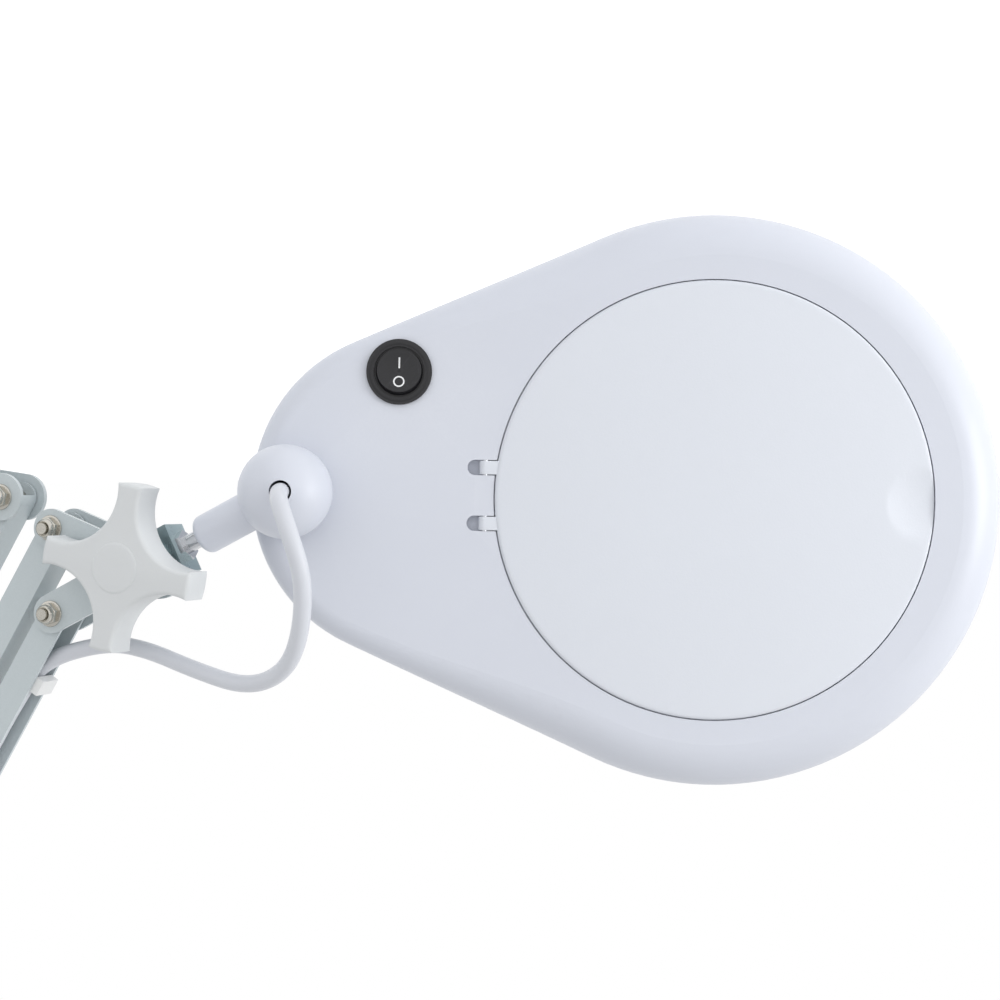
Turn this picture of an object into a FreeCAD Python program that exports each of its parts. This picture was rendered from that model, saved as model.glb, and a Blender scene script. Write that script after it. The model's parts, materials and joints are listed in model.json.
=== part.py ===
import FreeCAD, Part
import math
import os
import re
import Sketcher

# Spring-arm magnifying lamp, folded beside its table clamp. Millimetres, +Z up.
# The origin is on the underside of the clamp's upper jaw, on the swivel pin's axis.
# The two arms are parallelograms that move in the plane Y = 0. The table is on the +X side.
# The head is built lying flat (lens axis along Z, narrow end towards -X) and then placed.

V = FreeCAD.Vector
X_AXIS, Y_AXIS, Z_AXIS = V(1, 0, 0), V(0, 1, 0), V(0, 0, 1)
doc = FreeCAD.newDocument("magnifying_lamp")

# ---- Driving dimensions ---------------------------------------------------------------------
DIMENSIONS = {
    # tilt pivot of the head, on the knob's axis
    "tilt_x": -100, "tilt_z": 76.5,
    # arms
    "arm_length": 380, "arm_slope": 58.4, "bar_width": 11, "bar_depth": 12.3, "bar_wall": 1.2,
    "pivot_hole": 2.05, "bolt_radius": 2, "head_pair_gap": 30.5, "base_pair_gap": 24,
    "base_left_x": -44, "base_pivot_z": 52,
    "spring_radius": 4, "spring_bore": 2.8, "spring_length": 105, "spring_start": 70,
    "clip_run": 27, "clip_length": 6, "clip_low": 5.2, "clip_height": 3.3, "flex_join": 50,
    # fasteners
    "nut_corner": 4.04, "nut_height": 5, "bolt_head_radius": 3.8, "bolt_head_height": 2.6,
    # head bracket
    "plate_inner": 6.6, "plate_thick": 1.8, "ear_radius": 7, "tilt_ear_radius": 12,
    # knuckle, rod and ball
    "knuckle_radius": 11, "knuckle_half": 6.2, "knuckle_sheet": 2, "web_distance": 13,
    "knuckle_width": 18,
    "rod_radius": 3.25, "sleeve_radius": 7, "sleeve_start": 24, "ball_distance": 60,
    "ball_radius": 16.4, "neck_angle": 26, "cord_hole": 3.8,
    "nipple_radius": 5, "nipple_bore": 3.7,
    # star knob
    "knob_lobe": 29.5, "knob_valley": 14.5, "valley_radius": 19.9, "knob_back": 10.2, "knob_thick": 12.8,
    "knob_cap": 8.5, "knob_bolt": 3, "lobe_turn": 78,
    # head housing
    "head_turn": 20.5, "head_roll": 1.1, "big_radius": 102.1, "small_radius": 58.3,
    "centre_gap": 106.4, "head_top": 22, "head_bottom": -20, "parting": -2, "shell_wall": 2.5,
    "top_wall": 4, "big_round": 16, "small_round": 8, "bottom_round": 6, "ball_x": -151, "ball_height": 33,
    # lens, light ring and cover
    "lens_radius": 63.5, "lens_bulge": 5.5, "lens_edge": 3, "light_inner": 70, "light_outer": 92,
    "led_circle": 81, "led_count": 42, "cover_radius": 77.2, "cover_x": -1.4, "cover_low": 20.3,
    "cover_crown": 24.8, "cover_sag": 2.2, "scoop_x": 73.7, "scoop_radius": 46.8, "scoop_lift": 45.8,
    "hinge_x": -82, "hinge_z": 20.6, "hinge_y": 9.8, "hinge_arm": 4.8, "slot_width": 5.4,
    "slot_left": -88.3, "slot_right": -77.4, "slot_floor": 18.3, "hinge_pin_radius": 0.9,
    # switch
    "switch_x": -112.9, "switch_y": 42.8, "bezel_radius": 11.5, "rocker_radius": 8.35,
    "rocker_rest": 9,
    # base, swivel and clamp
    "pin_radius": 6.35, "socket_top": 34, "socket_radius": 12, "base_floor": 36, "base_sheet": 3,
    "jaw_top": 8, "jaw_thick": 6.5, "jaw_reach": 42, "jaw_back": -14, "jaw_half": 20,
    "clamp_throat": 62, "screw_x": 14, "screw_radius": 5, "pad_radius": 15, "pad_top": -30,
    # mains flex
    "flex_radius": 3, "coil_x": 100, "coil_y": -25, "coil_inner": 24, "coil_outer": 42,
    "coil_height": 18, "plug_length": 36, "plug_width": 25, "plug_height": 14,
}
sheet = doc.addObject("Spreadsheet::Sheet", "Sizes")
for row, (alias, value) in enumerate(DIMENSIONS.items(), start=1):
    sheet.set(f"A{row}", alias)
    sheet.set(f"B{row}", str(value))
    sheet.setAlias(f"B{row}", alias)
doc.recompute()


def size(alias):
    """A driving dimension, read from the spreadsheet."""
    return float(sheet.get(alias))


def bound(item, **formulas):
    """Binds properties of an object to formulas of the spreadsheet's dimensions."""
    for prop, formula in formulas.items():
        item.setExpression(prop, re.sub(r"[a-z]\w*", named_cell, str(formula)))
    return item


def named_cell(match):
    word = match[0]
    return f"Sizes.{word}" if word in DIMENSIONS else word


# ---- Building blocks --------------------------------------------------------------------------
def lying(axis):
    """The rotation that turns +Z to an axis."""
    return FreeCAD.Rotation(Z_AXIS, axis)


def cylinder(name, radius, height, at=(0, 0, 0), axis=Z_AXIS):
    item = bound(doc.addObject("Part::Cylinder", name), Radius=radius, Height=height)
    item.Placement = FreeCAD.Placement(V(*at), lying(axis))
    return item


def box(name, length, width, height, at=(0, 0, 0)):
    item = bound(doc.addObject("Part::Box", name), Length=length, Width=width, Height=height)
    item.Placement = FreeCAD.Placement(V(*at), FreeCAD.Rotation())
    return item


def ball(name, radius, at=(0, 0, 0)):
    item = bound(doc.addObject("Part::Sphere", name), Radius=radius)
    item.Placement = FreeCAD.Placement(V(*at), FreeCAD.Rotation())
    return item


def hexagon(name, corner, height, at, axis=Z_AXIS):
    item = bound(doc.addObject("Part::Prism", name), Circumradius=corner, Height=height)
    item.Polygon = 6
    item.Placement = FreeCAD.Placement(V(*at), lying(axis))
    return item


def cut(name, base, *tools):
    item = doc.addObject("Part::Cut", name)
    item.Base = base
    item.Tool = tools[0] if len(tools) == 1 else fused(name + "_tools", *tools)
    return item


def fused(name, *pieces):
    item = doc.addObject("Part::MultiFuse", name)
    item.Shapes = list(pieces)
    return item


def common(name, *pieces):
    item = doc.addObject("Part::MultiCommon", name)
    item.Shapes = list(pieces)
    return item


def group(name, *pieces):
    item = doc.addObject("Part::Compound", name)
    item.Links = list(pieces)
    return item


def plain(name, shape):
    """A shape made in code, for outlines and routes that no primitive has."""
    item = doc.addObject("Part::Feature", name)
    item.Shape = shape
    return item


def rounded(name, base, radius, pick):
    """Rounds the edges of base that pick(edge) chooses."""
    doc.recompute()
    item = doc.addObject("Part::Fillet", name)
    item.Base = base
    item.Edges = [(i, radius, radius) for i, edge in enumerate(base.Shape.Edges, 1) if pick(edge)]
    return item


nodes = {}


def node(name, item, placement=None):
    """Names a finished sub-part, and moves it to its place."""
    item.Label = name
    if placement is not None:
        item.Placement = placement.multiply(item.Placement)
    nodes[name] = item
    return item


def outline_plate(name, corners, radius, low_y, high_y):
    """A flat plate in the plane of the arms: the hull of equal circles, corners anticlockwise."""
    points = [V(x, low_y, z) for x, z in corners]
    count = len(points)
    edges = []
    for i, start in enumerate(points):
        end, after = points[(i + 1) % count], points[(i + 2) % count]
        way, next_way = (end - start).normalize(), (after - end).normalize()
        out, next_out = V(way.z, 0, -way.x), V(next_way.z, 0, -next_way.x)
        middle = out + next_out if (out + next_out).Length > 1e-6 else V(way)
        edges.append(Part.LineSegment(start + out * radius, end + out * radius).toShape())
        arc = Part.Arc(end + out * radius, end + middle.normalize() * radius, end + next_out * radius)
        edges.append(arc.toShape())
    face = Part.Face(Part.Wire(edges))
    return plain(name, face.extrude(V(0, high_y - low_y, 0)))


def tube_shape(points, radius):
    """A round tube along straight runs joined by tangent arcs."""
    points = [V(*p) for p in points]
    edges, here, radii = [], points[0], []
    for before, corner, after in zip(points, points[1:], points[2:]):
        way_in, way_out = (corner - before).normalize(), (after - corner).normalize()
        half_turn = way_in.getAngle(way_out) / 2
        trim = 0.45 * min((corner - before).Length, (after - corner).Length)
        radii.append(trim / math.tan(half_turn))
        start, end = corner - way_in * trim, corner + way_out * trim
        inward = (way_out - way_in).normalize()
        reach = trim / math.sin(half_turn) - radii[-1]
        if (start - here).Length > 1e-6:
            edges.append(Part.LineSegment(here, start).toShape())
        edges.append(Part.Arc(start, corner + inward * reach, end).toShape())
        here = end
    edges.append(Part.LineSegment(here, points[-1]).toShape())
    path = Part.Wire(edges)
    ring = Part.Wire(Part.Circle(points[0], (points[1] - points[0]).normalize(), radius).toShape())
    solid = path.makePipeShell([ring], True, True)
    expected = math.pi * radius**2 * path.Length
    print(f"  tube {path.Length:.0f} mm, radii {[round(r) for r in radii]},"
          f" volume {solid.Volume / expected:.3f} of its section times its length")
    return solid


# ---- Places in the plane of the arms ----------------------------------------------------------
slope = math.radians(size("arm_slope"))
along = V(math.cos(slope), 0, math.sin(slope))
across = V(-math.sin(slope), 0, math.cos(slope))
tilt = V(size("tilt_x"), 0, size("tilt_z"))
head_low = tilt + V(35, 0, -13.3)
head_high = head_low + V(0, 0, size("head_pair_gap"))
base_left = V(size("base_left_x"), 0, size("base_pivot_z"))
base_right = base_left + V(size("base_pair_gap"), 0, 0)
reach = along * size("arm_length")
elbow_low, elbow_high = head_low + reach, head_high + reach
elbow_left, elbow_right = base_left + reach, base_right + reach


def beside(pivot, run, out):
    """A point run along the arm from a pivot, and out across it."""
    point = pivot + along * run + across * out
    return (point.x, point.y, point.z)


# ---- Arms -------------------------------------------------------------------------------------
def bar(name, pivot, opening):
    """One bar with round ends. opening is 1 or -1 for a channel open on that side, 0 for a tube."""
    w, d, t = size("bar_width"), size("bar_depth"), size("bar_wall")
    solid = fused(
        name + "_solid",
        box(name + "_body", "arm_length", "bar_depth", "bar_width", (0, -d / 2, -w / 2)),
        cylinder(name + "_end", "bar_width / 2", "bar_depth", (0, -d / 2, 0), Y_AXIS),
        cylinder(name + "_far_end", "bar_width / 2", "bar_depth", (size("arm_length"), -d / 2, 0), Y_AXIS),
    )
    walls = {0: ("2 * bar_wall", -w / 2 + t), 1: ("bar_wall", -w / 2 + t), -1: ("bar_wall", -w / 2 - 1)}
    taken, low = walls[opening]
    extra = 0 if opening == 0 else 1
    hollow = box(name + "_hollow", "arm_length + 40", "bar_depth - 2 * bar_wall",
                 f"bar_width - {taken} + {extra}", (-20, -d / 2 + t, low))
    holes = [cylinder(f"{name}_hole_{i}", "pivot_hole", "bar_depth + 2", (x, -d / 2 - 1, 0), Y_AXIS)
             for i, x in enumerate((0, size("arm_length")))]
    turn = FreeCAD.Rotation(Y_AXIS, -size("arm_slope"))
    return node(name, cut(name, solid, hollow, *holes), FreeCAD.Placement(pivot, turn))


def spring(name, pivot):
    """The balancing spring inside a closed bar: the outer shape of its coils."""
    start = size("spring_start")
    coils = cut(name, cylinder(name + "_coils", "spring_radius", "spring_length", (start, 0, 0), X_AXIS),
                cylinder(name + "_bore", "spring_bore", "spring_length + 2", (start - 1, 0, 0), X_AXIS))
    turn = FreeCAD.Rotation(Y_AXIS, -size("arm_slope"))
    return node(name, coils, FreeCAD.Placement(pivot, turn))


def spring_pin(name, pivot):
    """The cross pin that anchors the spring in its bar."""
    half = size("bar_depth") / 2 - size("bar_wall")
    start = size("spring_start")
    pin = cylinder(name, 1.5, "bar_depth - 2 * bar_wall", (start - 1.7, -half, 0), Y_AXIS)
    turn = FreeCAD.Rotation(Y_AXIS, -size("arm_slope"))
    return node(name, pin, FreeCAD.Placement(pivot, turn))


def flex_clips(name, pivot, side):
    """Plastic clips that hold the flex in an open channel, each with a lip that stands out of it."""
    half = size("bar_depth") / 2 - size("bar_wall") - 0.1
    first = size("clip_run")
    places = [first + i * (size("arm_length") - 2 * first) / 3 for i in range(4)]
    pack = group(name, *[box(f"{name}_{i}", "clip_length", 2 * half, "clip_height",
                             (place - size("clip_length") / 2, -half, size("clip_low")))
                         for i, place in enumerate(places)])
    turn = FreeCAD.Rotation(Y_AXIS, -size("arm_slope")).multiply(
        FreeCAD.Rotation(X_AXIS, 0 if side > 0 else 180))
    return node(name, pack, FreeCAD.Placement(pivot, turn))


def bolts(name, pivots, half_depth):
    """Pan-head bolts along Y with their heads at the back."""
    pieces = []
    for i, p in enumerate(pivots):
        length = 2 * half_depth + size("nut_height") + 1
        shank = cylinder(f"{name}_shank_{i}", "bolt_radius", length, (p.x, half_depth - length, p.z), Y_AXIS)
        cap = cylinder(f"{name}_cap_{i}", "bolt_head_radius", "bolt_head_height", (p.x, half_depth, p.z), Y_AXIS)
        pieces.append(fused(f"{name}_bolt_{i}", shank, cap))
    return node(name, group(name, *pieces))


def nuts(name, pivots, half_depth):
    """Lock nuts on the front ends of the bolts."""
    pieces = []
    for i, p in enumerate(pivots):
        at = (p.x, -half_depth - size("nut_height"), p.z)
        body = hexagon(f"{name}_body_{i}", "nut_corner", "nut_height", at, Y_AXIS)
        bore = cylinder(f"{name}_bore_{i}", "bolt_radius", "nut_height + 2", (p.x, at[1] - 1, p.z), Y_AXIS)
        pieces.append(cut(f"{name}_nut_{i}", body, bore))
    return node(name, group(name, *pieces))


def drilled_plate(name, plates, pivots, low_y, high_y):
    """Joins plates and drills the pivot holes."""
    blank = plates[0] if len(plates) == 1 else fused(name + "_blank", *plates)
    holes = [cylinder(f"{name}_drill_{i}", "bolt_radius", high_y - low_y + 2, (p.x, low_y - 1, p.z), Y_AXIS)
             for i, p in enumerate(pivots)]
    return cut(name, blank, *holes)


inner, outer = size("plate_inner"), size("plate_inner") + size("plate_thick")

bar("upper_bar_a", head_low, 0)
bar("upper_bar_b", head_high, 1)
bar("lower_bar_a", base_left, 0)
bar("lower_bar_b", base_right, -1)
for arm, pivot in (("upper", head_low), ("lower", base_left)):
    spring(arm + "_spring", pivot)
    spring_pin(arm + "_spring_pin", pivot)
flex_clips("upper_flex_clips", head_high, 1)
flex_clips("lower_flex_clips", base_right, -1)

# ---- Elbow ------------------------------------------------------------------------------------
elbow_pivots = (elbow_left, elbow_right, elbow_high, elbow_low)
elbow_corners = [(p.x, p.z) for p in elbow_pivots]
for side, low_y, high_y in (("front", -outer, -inner), ("rear", inner, outer)):
    name = "elbow_plate_" + side
    plate = outline_plate(name + "_outline", elbow_corners, 8.5, low_y, high_y)
    node(name, drilled_plate(name, [plate], elbow_pivots, low_y, high_y))
spacer_at = (elbow_right.x - 3, -inner, elbow_right.z + 19)
node("elbow_spacer", cylinder("elbow_spacer", 3.5, "2 * plate_inner", spacer_at, Y_AXIS))
bolts("elbow_bolts", elbow_pivots, outer)
nuts("elbow_nuts", elbow_pivots, outer)

# ---- Head bracket -----------------------------------------------------------------------------
bracket_pivots = (head_low, head_high)
for side, low_y, high_y in (("front", -outer, -inner), ("rear", inner, outer)):
    name = "head_bracket_" + side
    ears = [outline_plate(f"{name}_ear_{i}", [(tilt.x, tilt.z), (p.x, p.z)], size("ear_radius"), low_y, high_y)
            for i, p in enumerate(bracket_pivots)]
    boss = cylinder(name + "_boss", "tilt_ear_radius", "plate_thick", (tilt.x, low_y, tilt.z), Y_AXIS)
    plate = drilled_plate(name + "_drilled", [boss, *ears], bracket_pivots, low_y, high_y)
    hole = cylinder(name + "_tilt_hole", "knob_bolt", "plate_thick + 2", (tilt.x, low_y - 1, tilt.z), Y_AXIS)
    node(name, cut(name, plate, hole))
bolts("bracket_bolts", bracket_pivots, outer)
nuts("bracket_nuts", bracket_pivots, outer)
bolt_front = -size("knob_back") - size("knob_thick") + 3
tilt_shank = cylinder("tilt_shank", "knob_bolt", outer - bolt_front, (tilt.x, bolt_front, tilt.z), Y_AXIS)
tilt_cap = hexagon("tilt_cap", 5.8, 4, (tilt.x, outer, tilt.z), Y_AXIS)
node("tilt_bolt", fused("tilt_bolt", tilt_shank, tilt_cap))
washer_disc = cylinder("washer_disc", 9, 1.5, (tilt.x, -outer - 1.5, tilt.z), Y_AXIS)
washer_bore = cylinder("washer_bore", "knob_bolt", 4, (tilt.x, -outer - 3, tilt.z), Y_AXIS)
node("tilt_washer", cut("tilt_washer", washer_disc, washer_bore))
core_tube = cylinder("core_tube", 6, "2 * (knuckle_half - knuckle_sheet) - 0.4",
                     (tilt.x, -size("knuckle_half") + size("knuckle_sheet") + 0.2, tilt.z), Y_AXIS)
core_bore = cylinder("core_bore", "knob_bolt", 20, (tilt.x, -10, tilt.z), Y_AXIS)
node("tilt_spacer", cut("tilt_spacer", core_tube, core_bore))


# ---- Star knob --------------------------------------------------------------------------------
def star_knob():
    back, thick = size("knob_back"), size("knob_thick")
    front = (tilt.x, -back - thick, tilt.z)
    seat = (tilt.x, -back - thick - 1, tilt.z)
    valleys = []
    for i in range(4):
        angle = math.radians(size("lobe_turn") + 45 + 90 * i)
        reach_out = size("knob_valley") + size("valley_radius")
        at = (tilt.x + reach_out * math.cos(angle), seat[1], tilt.z + reach_out * math.sin(angle))
        valleys.append(cylinder(f"knob_valley_{i}", "valley_radius", "knob_thick + 2", at, Y_AXIS))
    star = cut("knob_star", cylinder("knob_disc", "knob_lobe", "knob_thick", front, Y_AXIS), *valleys)
    bolt_hole = cylinder("knob_bolt_hole", "knob_bolt + 0.1", "knob_thick + 2", seat, Y_AXIS)
    cap_hole = cylinder("knob_cap_hole", "knob_cap", 3, seat, Y_AXIS)
    insert_hole = cylinder("knob_insert_hole", 5, 9, (tilt.x, -back - 8, tilt.z), Y_AXIS)
    node("star_knob", cut("star_knob", star, bolt_hole, cap_hole, insert_hole))
    cap = cylinder("knob_cap_disc", "knob_cap", 1.8, (tilt.x, front[1] + 0.2, tilt.z), Y_AXIS)
    node("knob_cap", cap)
    insert = cylinder("insert_body", 5, 8, (tilt.x, -back - 8, tilt.z), Y_AXIS)
    thread = cylinder("insert_thread", "knob_bolt + 0.05", 12, (tilt.x, -back - 9, tilt.z), Y_AXIS)
    node("knob_insert", cut("knob_insert", insert, thread))


star_knob()

# ---- Neck: knuckle, rod, ball. Built along +X from the tilt pivot -----------------------------
neck_turn = FreeCAD.Rotation(Y_AXIS, 180 - size("neck_angle"))
neck_place = FreeCAD.Placement(tilt, neck_turn)
half, web = size("knuckle_half"), size("web_distance")
cheeks = []
for i, low_y in enumerate((-half, half - size("knuckle_sheet"))):
    eye = cylinder(f"cheek_eye_{i}", "knuckle_radius", "knuckle_sheet", (0, low_y, 0), Y_AXIS)
    strap = box(f"cheek_strap_{i}", "web_distance + 2.5", "knuckle_sheet", "knuckle_width",
                (0, low_y, -size("knuckle_width") / 2))
    cheeks += [eye, strap]
web_plate = box("knuckle_web", 2.5, "2 * knuckle_half", "knuckle_width",
                (web, -half, -size("knuckle_width") / 2))
knuckle_blank = fused("knuckle_blank", *cheeks, web_plate)
pivot_bore = cylinder("knuckle_pivot", "knob_bolt + 0.06", 20, (0, -10, 0), Y_AXIS)
rod_bore = cylinder("knuckle_rod_hole", "rod_radius", 8, (web - 3, 0, 0), X_AXIS)
node("knuckle", cut("knuckle", knuckle_blank, pivot_bore, rod_bore), neck_place)
rod_start = web - 4
node("neck_rod", cylinder("neck_rod", "rod_radius", "sleeve_start + 8 - web_distance + 4",
                          (rod_start, 0, 0), X_AXIS), neck_place)
lock_nut = hexagon("lock_nut_body", 5.6, 2.5, (web + 2.5, 0, 0), X_AXIS)
lock_bore = cylinder("lock_nut_bore", "rod_radius", 8, (web, 0, 0), X_AXIS)
node("lock_nut", cut("lock_nut", lock_nut, lock_bore), neck_place)

# ---- The head's own frame ---------------------------------------------------------------------
turn, roll = math.radians(size("head_turn")), math.radians(size("head_roll"))
head_x = V(-math.cos(turn) * math.cos(roll), math.sin(turn) * math.cos(roll), math.sin(roll))
head_z = V(-math.sin(turn), -math.cos(turn), 0)
head_y = head_z.cross(head_x)
head_axes = FreeCAD.Matrix(head_x.x, head_y.x, head_z.x, 0, head_x.y, head_y.y, head_z.y, 0,
                           head_x.z, head_y.z, head_z.z, 0, 0, 0, 0, 1)
head_rotation = FreeCAD.Placement(head_axes).Rotation
ball_local = V(size("ball_x"), 0, size("ball_height"))
ball_centre = tilt + neck_turn.multVec(V(size("ball_distance"), 0, 0))
head_place = FreeCAD.Placement(ball_centre - head_rotation.multVec(ball_local), head_rotation)

# the ball with its sleeve, bored for the flex and for the hollow swivel stud below
sleeve = cylinder("sleeve_body", "sleeve_radius", "ball_distance - sleeve_start",
                  (size("sleeve_start"), 0, 0), X_AXIS)
sleeve_soft = rounded("sleeve_round", sleeve, 2.5, lambda e: e.BoundBox.XMax < size("sleeve_start") + 1)
sleeve_soft.Placement = neck_place.multiply(sleeve_soft.Placement)
sphere = ball("ball_sphere", "ball_radius", tuple(ball_centre))
rod_seat = cylinder("rod_seat", "rod_radius", 8, (size("sleeve_start"), 0, 0), X_AXIS)
rod_seat.Placement = neck_place.multiply(rod_seat.Placement)
flex_bore = cylinder("ball_flex_bore", "cord_hole", 40, tuple(ball_centre), head_z)
stud_bore = cylinder("ball_stud_bore", "nipple_radius", 40, tuple(ball_centre - head_z * 10), head_z * -1)
inner_bore = cylinder("ball_inner_bore", "cord_hole", 20, tuple(ball_centre - head_z * 15), head_z)
ball_solid = fused("ball_solid", sphere, sleeve_soft)
node("neck_ball", cut("neck_ball", ball_solid, rod_seat, flex_bore, stud_bore, inner_bore))


# ---- Head -------------------------------------------------------------------------------------
def lamp_outline(name, inset, low, height):
    """The head's outline, the hull of a big and a small circle, padded to a solid."""
    big, small = size("big_radius") - inset, size("small_radius") - inset
    gap = size("centre_gap")
    lean = math.asin((big - small) / gap)
    top_angle = math.pi / 2 + lean
    body = doc.addObject("PartDesign::Body", name)
    sketch = body.newObject("Sketcher::SketchObject", name + "_outline")
    plane = [f for f in body.Origin.OriginFeatures if f.Role == "XY_Plane"][0]
    sketch.AttachmentSupport = [(plane, "")]
    sketch.MapMode = "FlatFace"
    sketch.AttachmentOffset = FreeCAD.Placement(V(0, 0, low), FreeCAD.Rotation())
    centre, far = V(0, 0, 0), V(-gap, 0, 0)
    ray = V(math.cos(top_angle), math.sin(top_angle), 0)
    low_ray = V(ray.x, -ray.y, 0)
    sketch.addGeometry(Part.ArcOfCircle(Part.Circle(centre, Z_AXIS, big), -top_angle, top_angle))
    sketch.addGeometry(Part.LineSegment(centre + ray * big, far + ray * small))
    sketch.addGeometry(Part.ArcOfCircle(Part.Circle(far, Z_AXIS, small), top_angle, 2 * math.pi - top_angle))
    sketch.addGeometry(Part.LineSegment(far + low_ray * small, centre + low_ray * big))
    join = Sketcher.Constraint
    for first, first_end, second, second_end in ((0, 2, 1, 1), (1, 2, 2, 1), (2, 2, 3, 1), (3, 2, 0, 1)):
        sketch.addConstraint(join("Tangent", first, first_end, second, second_end))
    sketch.addConstraint(join("Coincident", 0, 3, -1, 1))
    sketch.addConstraint(join("PointOnObject", 2, 3, -1))
    for geometry, kind, value, formula in (
        (0, "Radius", big, f"big_radius - {inset}"),
        (2, "Radius", small, f"small_radius - {inset}"),
    ):
        index = sketch.addConstraint(join(kind, geometry, value))
        bound(sketch, **{f"Constraints[{index}]": formula})
    index = sketch.addConstraint(join("DistanceX", 2, 3, 0, 3, gap))
    bound(sketch, **{f"Constraints[{index}]": "centre_gap"})
    pad = body.newObject("PartDesign::Pad", name + "_pad")
    pad.Profile = sketch
    pad.Length = height
    doc.recompute()
    return body


def soft_rim(name, base, level, big, small):
    """Rounds the rim of a padded outline at one level, from big at the wide end to small at the other."""
    item = doc.addObject("Part::Fillet", name)
    item.Base = base
    item.Edges = [(i, *[big if v.X > -size("centre_gap") / 2 else small for v in edge.Vertexes])
                  for i, edge in enumerate(base.Shape.Edges, 1)
                  if max(abs(v.Z - level) for v in edge.Vertexes) < 1e-3]
    return item


wall, part_z = size("shell_wall"), size("parting")
top, bottom = size("head_top"), size("head_bottom")
screw_posts = [(96.2 * math.cos(math.radians(a)), 96.2 * math.sin(math.radians(a)))
               for a in (40, -40, 108, -108)] + [(-128, 42), (-128, -42)]


def top_housing():
    skin = soft_rim("top_rim", lamp_outline("top_skin", 0, part_z, top - part_z), top,
                    size("big_round"), size("small_round"))
    inner_top = top - size("top_wall")
    hollow = soft_rim("top_hollow_rim", lamp_outline("top_hollow", wall, part_z - 1, inner_top - part_z + 1),
                      inner_top, size("big_round") - 2 * wall, size("small_round") - wall)
    shell = cut("top_shell", skin, hollow)
    boss = cylinder("swivel_boss", 15, 10, (size("ball_x"), 0, 10))
    solid = common("top_boss_trim", boss, lamp_outline("top_trim", 1, part_z, top - part_z - 1))
    bed = box("hinge_bed", 16, 28, 3, (size("slot_left") - 2, -14, inner_top - 2.8))
    whole = fused("top_whole", shell, solid, bed)
    tools = [
        cylinder("cover_recess", "cover_radius + 0.4", 5, (size("cover_x"), 0, 20)),
        cylinder("lens_opening", 67, 10, (0, 0, 15)),
        ball("ball_scoop", "ball_radius + 0.5", (size("ball_x"), 0, size("ball_height"))),
        cylinder("stud_hole", "nipple_radius + 0.08", 30, (size("ball_x"), 0, 0)),
        cylinder("switch_hole", 9.95, 30, (size("switch_x"), size("switch_y"), 5)),
        cylinder("hinge_pin_hole", "hinge_pin_radius", 28, (size("hinge_x"), -14, size("hinge_z")), Y_AXIS),
    ]
    for side in (1, -1):
        left, middle = size("slot_left") + size("slot_width") / 2, side * size("hinge_y")
        tools.append(box(f"hinge_slot_{side + 1}", size("slot_right") - left + 2, "slot_width", 12,
                         (left, middle - size("slot_width") / 2, size("slot_floor"))))
        tools.append(cylinder(f"slot_end_{side + 1}", "slot_width / 2", 12, (left, middle, size("slot_floor"))))
    return node("top_housing", cut("top_housing", whole, *tools), head_place)


def bottom_housing():
    skin = soft_rim("bottom_rim", lamp_outline("bottom_skin", 0, bottom, part_z - bottom - 0.2), bottom,
                    size("bottom_round"), size("bottom_round"))
    hollow = lamp_outline("bottom_hollow", wall, bottom + wall, 30)
    shell = cut("bottom_shell", skin, hollow)
    light = cylinder("light_opening", "light_outer + 0.8", 10, (0, 0, bottom - 3))
    posts = [cylinder(f"post_{i}", 3.3, 30, (x, y, bottom + 1)) for i, (x, y) in enumerate(screw_posts)]
    bores = []
    for i, (x, y) in enumerate(screw_posts):
        bores.append(cylinder(f"post_bore_{i}", 1.5, 40, (x, y, bottom - 3)))
        bores.append(cylinder(f"post_sink_{i}", 2.8, 4, (x, y, bottom - 2)))
    opened = cut("bottom_opened", shell, light)
    whole = fused("bottom_whole", opened, *posts)
    node("bottom_housing", cut("bottom_housing", whole, *bores), head_place)
    screws = []
    for i, (x, y) in enumerate(screw_posts):
        shank = cylinder(f"screw_shank_{i}", 1.5, 16, (x, y, bottom + 2))
        cap = cylinder(f"screw_cap_{i}", 2.7, 1.6, (x, y, bottom + 0.4))
        screws.append(fused(f"screw_{i}", shank, cap))
    node("housing_screws", group("housing_screws", *screws), head_place)


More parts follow.
